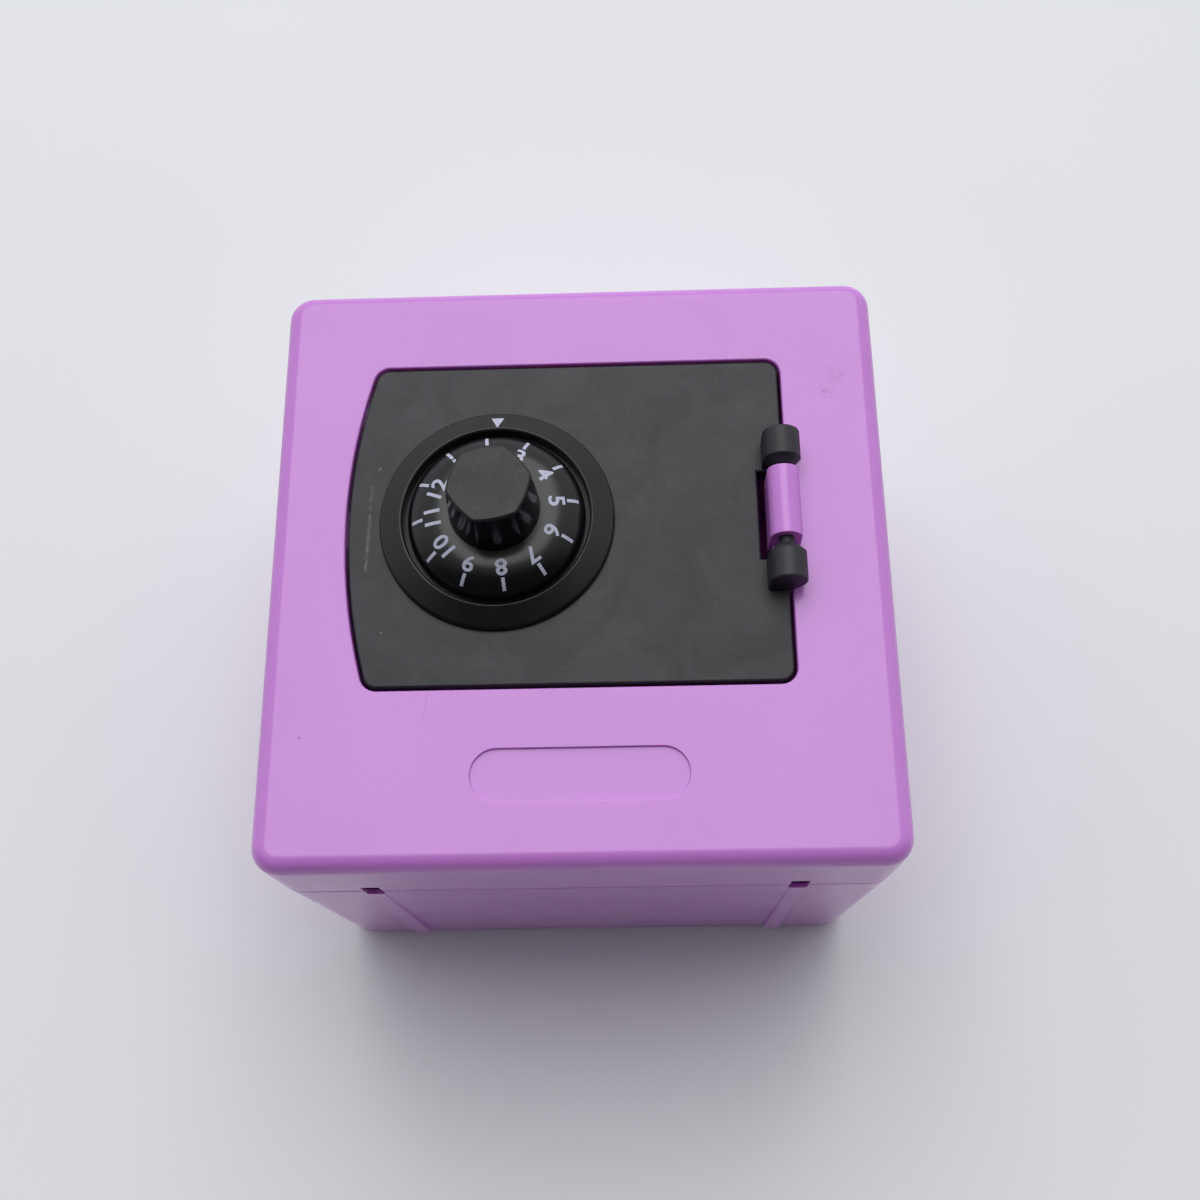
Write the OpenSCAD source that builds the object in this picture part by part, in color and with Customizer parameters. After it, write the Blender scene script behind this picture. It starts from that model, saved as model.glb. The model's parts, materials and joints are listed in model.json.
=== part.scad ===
// Toy safe coin bank: a two-piece moulded case, a hinged front door and a dial
// that turns a stack of notched discs past a keeper on the front cover.
// +Z is up, the door faces -Y, and the origin is under the middle of the whole
// object, on the surface that it stands on. Millimetres.

/* [Case] */
// Width of the case across the front
case_w = 76; // [63:0.5:92]
// Height of the case from the rails to the top
case_h = 76; // [63:0.5:92]
// Depth of the case from the front face to the back
case_d = 60; // [50:0.5:75]
// Depth of the front cover, back to the parting line
cover_d = 14; // [11:0.5:18]
// Wall of the front cover
cover_wall = 2; // [1.6:0.1:2.4]
// Wall of the rear body
body_wall = 1.8; // [1.5:0.1:2.4]
// Radius of the four corners, seen from the front
corner_r = 3.3; // [2.7:0.1:5]
// Radius of the front edge and of the back edge
edge_r = 2; // [1:0.1:2.5]
// Draft of the rear body's walls, in degrees
draft = 1; // [0:0.1:2]
// Open line between the cover and the rear body
parting_gap = 0.2; // [0.1:0.05:0.4]
// How far the rear body stands in from the cover's outside
parting_step = 0.1; // [0:0.05:0.3]
// Reach of the rear body's lip into the cover
lip_l = 3; // [2:0.5:4]
// Thickness of the lip
lip_t = 1; // [0.8:0.1:1.5]

/* [Case details] */
// Length of the coin slot in the top
slot_l = 30; // [25:0.5:36]
// Width of the coin slot
slot_w = 4.6; // [4.4:0.1:6]
// Width of the shallow panel under the door
panel_w = 25.6; // [20:0.2:32]
// Height of the shallow panel under the door
panel_h = 6.3; // [5:0.1:8]
// Depth of the shallow panel
panel_depth = 0.4; // [0.2:0.1:0.8]
// Width of each rail under the rear body
rail_w = 2.3; // [1.8:0.1:4]
// Distance from the middle to each rail's middle
rail_x = 26; // [18:0.5:28]
// Length of the window over each rail, on either side of the parting line
window_l = 2.5; // [1.5:0.5:4]

/* [Door] */
// Width of the door opening at mid height
opening_w = 54.6; // [50:0.2:56]
// Height of the door opening
opening_h = 43.3; // [40:0.2:48]
// Right edge of the door opening, from the middle of the case
opening_right = 25.8; // [24:0.1:27]
// Height of the door's middle above the case's middle
door_up = 4.9; // [2:0.1:7]
// Radius of the opening's bowed left side
bow_r = 76; // [60:1:120]
// Radius of the opening's corners
opening_r = 2; // [1:0.1:3]
// Gap between the door and the opening
door_gap = 0.4; // [0.35:0.05:0.6]
// Thickness of the door
door_t = 2; // [1.6:0.1:2.4]

/* [Hinge] */
// Distance of the hinge axis in from the opening's right edge
hinge_in = 0.7; // [0.4:0.1:1]
// Distance of the hinge axis in front of the face
hinge_out = 2.5; // [2.4:0.1:4]
// Outer radius of the cover's barrel
barrel_r = 1.95; // [1.7:0.05:2.2]
// Length of the cover's barrel
barrel_l = 9; // [7:0.5:9.5]
// Height of the barrel's middle above the door's middle
barrel_up = 0.3; // [0:0.1:0.4]
// Radius of the door's two knuckles
knuckle_r = 2.3; // [2:0.05:2.35]
// Length of each knuckle without its cone
knuckle_l = 3.8; // [3:0.1:6]
// Length of the cone on each knuckle
cone_l = 0.95; // [0.6:0.05:1.2]
// Radius of the stub pins
pin_r = 0.88; // [0.7:0.02:1]
// Radial running clearance of the pins and the lock's shafts
run_gap = 0.06; // [0.02:0.01:0.1]
// How far each stub pin reaches into the barrel
pin_reach = 2.5; // [2:0.1:3.5]

/* [Dial] */
// Distance from the hinge axis to the dial's axis
dial_reach = 35.1; // [34:0.1:36]
// Radius of the dial's rim
dial_r = 10.95; // [10:0.05:11.2]
// Height of the dial's rim above the door
dial_rim_h = 0.45; // [0.3:0.05:1]
// Height of the dial's shoulder at the foot of the knob
dial_h = 3.6; // [3:0.1:5]
// Height of the knob above the door
knob_h = 11; // [9:0.1:14]
// Radius of the knob at its foot
knob_foot_r = 5.63; // [5:0.05:6]
// Radius of the knob at its top, over its corners
knob_top_r = 5.15; // [4.6:0.05:5.5]
// Number of bowed sides at the knob's top
knob_sides = 6; // [4:1:8]
// Bow of each side at the knob's top
knob_bow = 0.27; // [0.1:0.01:0.4]
// Turn of the first corner from the top, clockwise from the front, in degrees
knob_turn = 19.5; // [0:0.5:60]
// Outer radius of the dial's bezel
bezel_r = 14.5; // [14:0.1:15.5]
// Inner radius of the dial's bezel
bezel_in_r = 11.5; // [11.4:0.05:12]
// Height of the bezel
bezel_h = 1.75; // [1.2:0.05:2.5]

/* [Lock] */
// Radius of the notched discs
disc_r = 16.5; // [16:0.1:16.7]
// Thickness of the notched discs
disc_t = 1.2; // [1:0.1:1.4]
// Space between neighbouring discs
disc_gap = 1.4; // [1.2:0.1:1.6]
// Width of the discs' notch
notch_w = 6.6; // [6:0.1:8]
// Depth of the discs' notch
notch_depth = 4; // [3.5:0.1:5]
// Height of the keeper on the cover
keeper_h = 5; // [4:0.1:5.4]
// Thickness of the keeper
keeper_t = 1.6; // [1.2:0.1:1.8]
// How far the keeper reaches over the discs
keeper_over = 1.7; // [1:0.1:1.8]
// Radius of the boss that carries the discs
boss_r = 5; // [4.4:0.1:5.5]
// Radius of the dial's shaft
shaft_r = 3; // [2.6:0.1:3.4]
// Height of the lugs that pick up the next disc
lug_h = 1.1; // [0.8:0.05:1.15]

/* [Hidden] */
$fn = 64;

over = 1;                                    // cutters run past a face by this
face_y = (knob_h - case_d) / 2;              // front face, with the object centred
door_z = case_h / 2 + door_up;               // middle of the door and of the dial
hinge_x = opening_right - hinge_in;
dial_x = hinge_x - dial_reach;
opening_left = opening_right - opening_w;

// case
lip_gap = 0.15;                              // lip to cover, all round
panel_z = case_h / 2 - 27.1;                 // middle of the shallow panel
window_depth = 1.2;
catch_x = 12;                                // snap catches, left and right of the middle
catch_w = 6;
catch_h = 0.5;
catch_t = 1.2;
taper = (case_d - cover_d) * tan(draft);     // how far the walls close in towards the back
ledge_w = 16;                                // stop ledges behind the door's top and bottom
ledge_reach = 1.2;
ledge_x = dial_x;

// hinge
notch_x = hinge_x - barrel_r - 0.95;         // left side of the door's hinge notch
notch_half = barrel_l / 2 + barrel_up + 1;   // half height of that notch
tongue_half = notch_half - 0.5;
knuckle_end = notch_half + 0.4 + knuckle_l;
cone_r = 1.35;

// bezel
bezel_skirt = 0.8;
bezel_skirt_in = bezel_in_r + 0.5;
bezel_skirt_out = bezel_skirt_in + 0.8;
bezel_seat_gap = 0.05;

// lock stack, as depths behind the front face
seat_gap = 0.2;                              // between the door's back and what stops it
stack_gap = 0.1;                             // between parts of the stack that slide
keeper_y = door_t + seat_gap;
stack_y = keeper_y + keeper_t + 0.5;         // front of the first disc
pitch = disc_t + disc_gap;
front_tumbler_y = stack_y;
rear_tumbler_y = stack_y + pitch;
drive_y = stack_y + 2 * pitch;
boss_end = drive_y - seat_gap;
collar_r = boss_r + 1.5;
spacer_r = boss_r + 2.5;
hub_r = 2.6;                                 // hexagon that drives the disc, over its corners
hub_gap = 0.05;
lug_r = 10;                                  // lugs sit at this radius
lug_w = 2;
lug_l = 2.5;
rim_gap = 0.3;                               // dial's underside to the door
screw_r = 1.2;
screw_l = 5;
screw_head_r = 2.6;
screw_head_h = 1.6;
washer_r = 4.2;
washer_t = 0.6;
washer_y = drive_y + disc_t;
screw_y = washer_y + washer_t;

// ---------- placing ----------

// Moves a shape drawn with its depth from the front face at Y = 0 into place.
module at_face() {
    translate([0, face_y, 0]) children();
}

// A slab between two depths, from an outline drawn as X and height.
module slab(y0, y1) {
    translate([0, y1, 0]) rotate([90, 0, 0]) linear_extrude(height = y1 - y0) children();
}

// Turns an outline of radius and height in front of the door round the dial's axis.
module turned() {
    translate([dial_x, 0, door_z]) rotate([90, 0, 0]) rotate_extrude($fn = 96) children();
}

// A round bar on the dial's axis between two depths.
module dial_bar(y0, y1, r, sides = 96) {
    translate([dial_x, y1, door_z]) rotate([90, 0, 0]) cylinder(h = y1 - y0, r = r, $fn = sides);
}

// ---------- outlines ----------

module round_rect(x0, x1, z0, z1, r) {
    translate([x0 + r, z0]) square([x1 - x0 - 2 * r, z1 - z0]);
    translate([x0, z0 + r]) square([x1 - x0, z1 - z0 - 2 * r]);
    for (x = [x0 + r, x1 - r], z = [z0 + r, z1 - r]) translate([x, z]) circle(r = r);
}

// The case's outline seen from the front, drawn in by an inset.
module case_outline(inset, r) {
    half = case_w / 2 - inset;
    round_rect(-half, half, inset, case_h - inset, r);
}

// The door opening: straight on three sides and bowed on the left.
module opening_outline() {
    offset(r = opening_r, $fn = 48) offset(delta = -opening_r) intersection() {
        translate([opening_left - over, door_z - opening_h / 2])
            square([opening_w + over, opening_h]);
        translate([opening_left + bow_r, door_z]) circle(r = bow_r, $fn = 720);
    }
}

// A quarter round on the edge of a corner post, from its axis outwards.
function edge_arc(r, fillet, steps = 10) =
    [for (i = [0 : steps]) let (a = 90 * i / steps)
        [r - fillet + fillet * sin(a), fillet - fillet * cos(a)]];

// One corner of a rounded shell: its rounded end is at depth y, and it runs back
// by len, or forward when len is negative.
module corner_post(x, z, y, len, r, fillet) {
    translate([x, y, z]) rotate([len > 0 ? -90 : 90, 0, 0]) rotate_extrude($fn = 48)
        polygon(concat([[0, 0]], edge_arc(r, fillet), [[r, abs(len)], [0, abs(len)]]));
}

// ---------- front cover ----------

module cover_shell() {
    hull() for (side = [-1, 1], z = [corner_r, case_h - corner_r])
        corner_post(side * (case_w / 2 - corner_r), z, 0, cover_d, corner_r, edge_r);
}

module cover_hollow() {
    slab(cover_wall, cover_d + over) case_outline(cover_wall, max(0.5, corner_r - cover_wall));
}

// Pockets that the rear body's catches snap into.
module catch_places(grow) {
    y = cover_d - lip_l / 2;
    lip_out = cover_wall + lip_gap;
    for (x = [-catch_x, catch_x], z = [lip_out, case_h - lip_out])
        translate([x, y, z])
            cube([catch_w + 2 * grow, catch_t + 2 * grow, 2 * (catch_h + grow)], center = true);
}

// Windows over the rails, cut from the parting line forwards or backwards.
module rail_windows(y0, y1) {
    for (side = [-1, 1])
        translate([side * rail_x - rail_w / 2, y0, -over])
            cube([rail_w, y1 - y0, over + window_depth]);
}

module barrel() {
    z0 = door_z + barrel_up - barrel_l / 2;
    translate([hinge_x, -hinge_out, z0]) cylinder(h = barrel_l, r = barrel_r, $fn = 96);
    translate([hinge_x - barrel_r, -hinge_out, z0]) cube([2 * barrel_r, hinge_out + 0.5, barrel_l]);
    translate([hinge_x - barrel_r, 0, door_z - tongue_half])
        cube([opening_right + over - hinge_x + barrel_r, cover_wall, 2 * tongue_half]);
}

// The keeper reaches in behind the door, in front of the lock's discs.
module keeper() {
    tip = dial_x - disc_r + keeper_over;
    root = opening_left - cover_wall;
    translate([root, keeper_y, door_z - keeper_h / 2]) cube([tip - root, keeper_t, keeper_h]);
    translate([root, cover_wall - 0.2, door_z - keeper_h / 2])
        cube([cover_wall, keeper_y - cover_wall + 0.3, keeper_h]);
}

// Ledges that the door's top and bottom edges close against.
module ledges() {
    for (side = [-1, 1]) translate([ledge_x, 0, door_z + side * opening_h / 2]) {
        translate([-ledge_w / 2, keeper_y, side > 0 ? -ledge_reach : -cover_wall])
            cube([ledge_w, keeper_t, cover_wall + ledge_reach]);
        translate([-ledge_w / 2, cover_wall - 0.2, side > 0 ? 0.2 : -cover_wall])
            cube([ledge_w, keeper_y - cover_wall + 0.3, cover_wall - 0.2]);
    }
}

module front_cover() color("orchid") at_face() difference() {
    union() {
        difference() {
            cover_shell();
            cover_hollow();
            slab(-over, cover_wall + over) opening_outline();
            slab(-over, panel_depth)
                round_rect(-panel_w / 2, panel_w / 2, panel_z - panel_h / 2, panel_z + panel_h / 2,
                    panel_h / 2 - 0.01);
            rail_windows(cover_d - window_l, cover_d + over);
            catch_places(0.1);
        }
        barrel();
        keeper();
        ledges();
    }
    translate([hinge_x, -hinge_out, door_z - notch_half])
        cylinder(h = 2 * notch_half, r = pin_r + run_gap, $fn = 96);
}

// ---------- rear body ----------

module body_shell(inset, y0, y1, fillet) {
    r0 = max(0.6, corner_r - inset);
    back = inset + taper * (y1 - cover_d) / (case_d - cover_d);
    front = inset + taper * (y0 - cover_d) / (case_d - cover_d);
    hull() for (side = [-1, 1], top = [0, 1]) {
        corner_post(side * (case_w / 2 - front - r0), top * (case_h - 2 * (front + r0)) + front + r0,
            y0, 0.5, r0, 0.05);
        corner_post(side * (case_w / 2 - back - r0), top * (case_h - 2 * (back + r0)) + back + r0,
            y1, -fillet - 0.05, r0, fillet);
    }
}

module lip() {
    out = cover_wall + lip_gap;
    in = out + lip_t;
    join_y = cover_d + parting_gap;
    r = max(0.6, corner_r - out);
    difference() {
        union() {
            slab(cover_d - lip_l, join_y + 1) case_outline(out, r);
            slab(join_y, join_y + 2.5) case_outline(parting_step + body_wall / 2, r);
            catch_places(0);
        }
        slab(cover_d - lip_l - over, join_y + 2.5 + over) case_outline(in, r);
    }
}

// Rails under the case: level with the cover, so they deepen as the wall rises.
module rails() {
    y0 = cover_d + parting_gap;
    top = parting_step + taper + body_wall / 2;
    for (side = [-1, 1]) translate([side * rail_x - rail_w / 2, y0, 0])
        cube([rail_w, case_d - y0 - edge_r, top]);
}

module coin_slot() {
    y = (cover_d + lip_l + case_d) / 2;
    translate([0, y, case_h - taper - body_wall - over])
        linear_extrude(height = taper + body_wall + 2 * over)
            round_rect(-slot_l / 2, slot_l / 2, -slot_w / 2, slot_w / 2, 0.8);
}

module rear_body() color("mediumorchid") at_face() difference() {
    union() {
        difference() {
            body_shell(parting_step, cover_d + parting_gap, case_d, edge_r);
            body_shell(parting_step + body_wall, cover_d + parting_gap - 0.1, case_d - body_wall,
                0.5);
            translate([-case_w / 2 + 5, cover_d - over, 5])
                cube([case_w - 10, 2 * over, case_h - 10]);
        }
        lip();
        rails();
    }
    coin_slot();
    rail_windows(cover_d + parting_gap - 0.01, cover_d + window_l);
}

// ---------- door ----------

// A knuckle stands on the door's end of the hinge: a round bar with a flank down to
// the door on its left, a cone towards the barrel and a stub pin into it.
module knuckle(side) {
    barrel_end = barrel_l / 2 + side * barrel_up;
    base = knuckle_end - knuckle_l;
    translate([hinge_x, -hinge_out, door_z]) mirror([0, 0, side > 0 ? 0 : 1]) {
        translate([0, 0, base]) cylinder(h = knuckle_l, r = knuckle_r, $fn = 96);
        translate([-knuckle_r, 0, base]) cube([knuckle_r, hinge_out + 0.5, knuckle_l]);
        translate([0, 0, base - cone_l]) cylinder(h = cone_l, r1 = cone_r, r2 = knuckle_r, $fn = 96);
        translate([0, 0, barrel_end - pin_reach])
            cylinder(h = base - barrel_end + pin_reach, r = pin_r, $fn = 96);
    }
}

module door_ribs() {
    for (side = [-1, 1]) translate([dial_x - 12, door_t - 0.2, door_z + side * (opening_h / 2 - 3)])
        translate([0, 0, -0.6]) cube([hinge_x - dial_x + 6, 2, 1.2]);
}

module door() color("dimgray") at_face() difference() {
    union() {
        slab(0, door_t) difference() {
            offset(delta = -door_gap) opening_outline();
            translate([notch_x, door_z - notch_half])
                square([opening_right - notch_x, 2 * notch_half]);
        }
        for (side = [-1, 1]) knuckle(side);
        door_ribs();
        dial_bar(door_t - 0.2, stack_y - stack_gap, collar_r);
        dial_bar(door_t - 0.2, boss_end, boss_r);
    }
    dial_bar(-over, boss_end + over, shaft_r + run_gap);
    turned() translate([bezel_skirt_in - bezel_seat_gap, -bezel_skirt - bezel_seat_gap])
        square([bezel_skirt_out - bezel_skirt_in + 2 * bezel_seat_gap, bezel_skirt + over]);
}

// ---------- dial ----------

// Bezel: round on the outside, with a flatter slope down to the dial's well.
module dial_bezel() color([0.12, 0.12, 0.13]) at_face() turned() {
    crown = (bezel_r + bezel_in_r) / 2 - 0.4;
    side_h = 0.2;
    lip_h = bezel_h - 0.3;
    outer = [for (a = [0 : 9 : 90])
        [crown + (bezel_r - crown) * cos(a), side_h + (bezel_h - side_h) * sin(a)]];
    inner = [for (a = [15 : 15 : 90])
        [crown - (crown - bezel_in_r) * sin(a), lip_h + (bezel_h - lip_h) * cos(a)]];
    polygon(concat([[bezel_in_r, 0], [bezel_skirt_in, 0], [bezel_skirt_in, -bezel_skirt],
        [bezel_skirt_out, -bezel_skirt], [bezel_skirt_out, 0], [bezel_r, 0]], outer, inner));
}

// Half outline of the dial without its knob: domed skirt and shaft.
module dial_outline() {
    foot = knob_foot_r + 0.4;
    dome = [for (a = [90 : -5 : 0])
        [foot + (dial_r - foot) * cos(a), dial_rim_h + (dial_h - dial_rim_h) * sin(a)]];
    polygon(concat([[0, dial_h]], dome,
        [[dial_r, rim_gap], [shaft_r, rim_gap], [shaft_r, -drive_y], [0, -drive_y]]));
}

// Hollow under the domed skirt, as the moulding has.
module dial_hollow() {
    wall = 1.4;
    translate([shaft_r + wall, rim_gap - over])
        square([dial_r - shaft_r - 2 * wall - 1, dial_h - rim_gap - wall - 0.8 + over]);
}

// Outline of the knob's top: bowed sides that meet in slightly rounded corners.
module knob_top() {
    half = knob_top_r * sin(180 / knob_sides);
    side_r = (half * half + knob_bow * knob_bow) / (2 * knob_bow);
    mid = knob_top_r * cos(180 / knob_sides) + knob_bow;
    offset(r = 0.3, $fn = 32) offset(delta = -0.3) intersection_for(i = [0 : knob_sides - 1])
        rotate(90 + (i + 0.5) * 360 / knob_sides)
            translate([mid - side_r, 0]) circle(r = side_r, $fn = 240);
}

// The knob: its round foot runs up into the bowed sides of its top.
module knob() {
    round_r = 0.4;
    translate([dial_x, 0, door_z]) rotate([90, knob_turn, 0]) hull() {
        translate([0, 0, dial_h - 0.6]) cylinder(h = 0.3, r = knob_foot_r, $fn = 96);
        for (a = [0 : 30 : 90]) translate([0, 0, knob_h - round_r + round_r * sin(a) - 0.01])
            linear_extrude(height = 0.01) offset(delta = -round_r * (1 - cos(a))) knob_top();
    }
}

module dial() color([0.07, 0.07, 0.08]) at_face() difference() {
    union() {
        turned() dial_outline();
        knob();
        dial_bar(drive_y - 0.2, drive_y + disc_t - stack_gap, hub_r, 6);
    }
    turned() dial_hollow();
    dial_bar(drive_y + disc_t - screw_l - 0.5, drive_y + disc_t + over, screw_r + hub_gap);
}

// ---------- lock ----------

// A lug on one face of a disc, up or down from the axis.
module lug(y0, y1, side) {
    translate([dial_x - lug_w / 2, y0, door_z + side * lug_r - lug_l / 2])
        cube([lug_w, y1 - y0, lug_l]);
}

// A disc with a notch that faces the keeper when the lock is open.
module notched_disc(y, lug_front, lug_back) {
    difference() {
        dial_bar(y, y + disc_t, disc_r);
        translate([dial_x - disc_r - over, y - over, door_z - notch_w / 2])
            cube([notch_depth + over, disc_t + 2 * over, notch_w]);
    }
    if (lug_front) lug(y - lug_h, y + disc_t / 2, 1);
    if (lug_back) lug(y + disc_t / 2, y + disc_t + lug_h, -1);
}

module front_tumbler() color("gainsboro") at_face() difference() {
    notched_disc(front_tumbler_y, false, true);
    dial_bar(front_tumbler_y - over, front_tumbler_y + disc_t + over, boss_r + run_gap);
}

module rear_tumbler() color("lightgray") at_face() difference() {
    notched_disc(rear_tumbler_y, true, true);
    dial_bar(rear_tumbler_y - over, rear_tumbler_y + disc_t + over, boss_r + run_gap);
}

module drive_disc() color("silver") at_face() difference() {
    notched_disc(drive_y, true, false);
    dial_bar(drive_y - over, drive_y + disc_t + over, hub_r + hub_gap, 6);
}

module spacer(y) {
    at_face() difference() {
        dial_bar(y + stack_gap, y + disc_gap - stack_gap, spacer_r);
        dial_bar(y, y + disc_gap, boss_r + run_gap);
    }
}

module front_spacer() color("white") spacer(front_tumbler_y + disc_t);

module rear_spacer() color("white") spacer(rear_tumbler_y + disc_t);

module screw_washer() color("silver") at_face() difference() {
    dial_bar(washer_y, washer_y + washer_t, washer_r);
    dial_bar(washer_y - over, washer_y + washer_t + over, screw_r + hub_gap);
}

module lock_screw() color("gainsboro") at_face() difference() {
    union() {
        dial_bar(screw_y - screw_l, screw_y + 0.1, screw_r);
        turned() polygon(concat([[0, -screw_y]], [for (a = [0 : 15 : 90])
            [screw_head_r - 0.8 + 0.8 * cos(a), -screw_y - screw_head_h + 0.8 - 0.8 * sin(a)]],
            [[0, -screw_y - screw_head_h]], [[0, -screw_y]]));
        dial_bar(screw_y, screw_y + screw_head_h - 0.8, screw_head_r);
    }
    for (turn = [0, 90]) translate([dial_x, screw_y + screw_head_h - 0.4, door_z])
        rotate([0, turn, 0]) cube([3, 1, 0.6], center = true);
}

rear_body();
front_cover();
door();
dial_bezel();
dial();
drive_disc();
rear_tumbler();
front_tumbler();
rear_spacer();
front_spacer();
screw_washer();
lock_screw();
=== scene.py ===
"""Toy safe coin bank: case, door, dial and lock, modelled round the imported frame.

Every piece is one operator, its sizes and colours are properties of the scene,
and a panel in the 3D view's sidebar lists them. Metres, +Z up, door facing -Y.
"""

import json
import math

import bmesh
import bpy
from mathutils import Matrix, Vector


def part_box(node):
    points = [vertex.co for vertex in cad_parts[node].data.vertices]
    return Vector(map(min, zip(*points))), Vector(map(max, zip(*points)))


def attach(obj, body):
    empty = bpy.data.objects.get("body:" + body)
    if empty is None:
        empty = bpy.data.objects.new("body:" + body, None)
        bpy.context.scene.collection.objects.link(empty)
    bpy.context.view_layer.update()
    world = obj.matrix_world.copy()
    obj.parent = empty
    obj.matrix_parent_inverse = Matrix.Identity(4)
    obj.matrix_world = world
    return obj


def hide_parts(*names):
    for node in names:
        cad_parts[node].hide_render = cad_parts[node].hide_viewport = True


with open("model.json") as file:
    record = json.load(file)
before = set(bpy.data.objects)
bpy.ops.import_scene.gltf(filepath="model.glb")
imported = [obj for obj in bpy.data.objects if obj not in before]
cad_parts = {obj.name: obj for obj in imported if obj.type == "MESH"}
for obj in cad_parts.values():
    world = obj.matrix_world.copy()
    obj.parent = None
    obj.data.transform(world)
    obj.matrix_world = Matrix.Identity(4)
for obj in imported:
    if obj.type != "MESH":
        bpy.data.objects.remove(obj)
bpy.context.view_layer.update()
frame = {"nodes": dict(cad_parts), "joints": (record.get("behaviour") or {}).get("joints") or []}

bl_info = {
    "name": "Toy safe coin bank",
    "version": (1, 0, 0),
    "blender": (4, 5, 0),
    "location": "3D View > Sidebar > Bank",
    "description": "Models a toy safe coin bank on its frame",
    "category": "Object",
}

JOINTS = {joint["name"]: joint for joint in frame["joints"]}
HINGE = Vector(JOINTS["door_hinge"]["pos_m"])
DIAL = Vector(JOINTS["dial_spin"]["pos_m"])  # on the dial's axis, in the face's plane
COVER_LOW, COVER_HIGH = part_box("front_cover")
BODY_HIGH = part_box("rear_body")[1]
BEZEL_LOW, BEZEL_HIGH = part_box("dial_bezel")
KNOB_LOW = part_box("dial")[0]
FACE = DIAL.y
MM = 0.001
NEAR_EDGE = 0.1 * MM  # reach of a test for the edges of an opening
EDGE_BREAK = 0.12 * MM  # smallest rounding of the case's edges
SINK = 0.01 * MM  # keeps two joined surfaces out of one plane
BITE = 0.2 * MM  # how far a root reaches into the wall it stands on
FINE_RELIEF = 0.003 * MM  # height of the finest grain
INK_LIFT, INK_FILM = 0.018 * MM, 0.04 * MM  # how far the ink stands off, and its thickness

# the snap catches: half their sizes, and their places from the middle and from the outside
CATCH_HALF = Vector((3, 0.6, 0.5)) * MM
CATCH_X, CATCH_IN, CATCH_BACK = 12 * MM, 2.15 * MM, 1.5 * MM
LIP_IN, LIP_REACH, LIP_CORNER = 2.15 * MM, 3 * MM, 1.15 * MM
# the keeper and the ledges behind the opening
STOP_THICK = 1.6 * MM
KEEPER_HALF, KEEPER_TIP = 2.5 * MM, 14.8 * MM
LEDGE_HALF, LEDGE_IN, LEDGE_OUT = 8 * MM, 1.2 * MM, 2 * MM
# the hinge: its barrel stands a little above the dial's height, in a notch of the door
BARREL_RISE, NOTCH_ROOM = 0.3 * MM, 1.3 * MM
CONE_RADIUS, CONE_LENGTH, PIN_REACH = 1.35 * MM, 0.95 * MM, 2.5 * MM
# depths behind the face, and radii, of the turned parts on the dial's axis
COLLAR, COLLAR_BACK = 6.5 * MM, 4.2 * MM
BOSS, BOSS_BACK = 5 * MM, 9.3 * MM
SHAFT, SHAFT_HOLE, SHAFT_BACK = 3 * MM, 3.06 * MM, 9.5 * MM
HUB, HUB_BACK = 2.6 * MM, 10.6 * MM
SCREW_HOLE, SCREW_DEPTH = 1.25 * MM, 5.2 * MM


# ---------- properties ----------


def length(name, default, description):
    """A length property in metres."""
    return bpy.props.FloatProperty(
        name=name,
        description=description,
        default=default,
        min=0.0,
        precision=5,
        subtype="DISTANCE",
        unit="LENGTH",
    )


def turn(name, default, description):
    """An angle property in radians."""
    return bpy.props.FloatProperty(
        name=name, description=description, default=default, subtype="ANGLE", unit="ROTATION"
    )


def colour(name, default, description):
    """A linear colour property."""
    return bpy.props.FloatVectorProperty(
        name=name, description=description, default=default, size=3, min=0.0, max=1.0, subtype="COLOR"
    )


class BankCase(bpy.types.PropertyGroup):
    """Sizes and colour of the moulded case."""

    corner: length("Corner radius", 0.0033, "Radius of the four corners, seen from the front")
    edge: length("Edge radius", 0.002, "Radius of the front edge and of the back edge")
    cover_wall: length("Cover wall", 0.002, "Wall of the front cover")
    body_wall: length("Body wall", 0.0018, "Wall of the rear body")
    step: length("Parting step", 0.00003, "How far the rear body stands in from the cover")
    taper: length("Taper", 0.00087, "How far the rear body's walls close in towards the back")
    slot_length: length("Slot length", 0.03, "Length of the coin slot in the top")
    slot_width: length("Slot width", 0.0046, "Width of the coin slot in the top")
    panel_width: length("Panel width", 0.0256, "Width of the shallow panel under the door")
    panel_height: length("Panel height", 0.0063, "Height of the shallow panel")
    panel_depth: length("Panel depth", 0.0004, "Depth of the shallow panel")
    panel_z: length("Panel place", 0.0109, "Height of the panel's middle above the base")
    rail_x: length("Rail place", 0.026, "Distance from the middle to each rail's middle")
    rail_width: length("Rail width", 0.0023, "Width of each rail")
    window: length("Window length", 0.0025, "Length of the rail's window each side of the parting line")
    orchid: colour("Case colour", (0.6, 0.235, 0.71), "Colour of the case's plastic")


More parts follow.
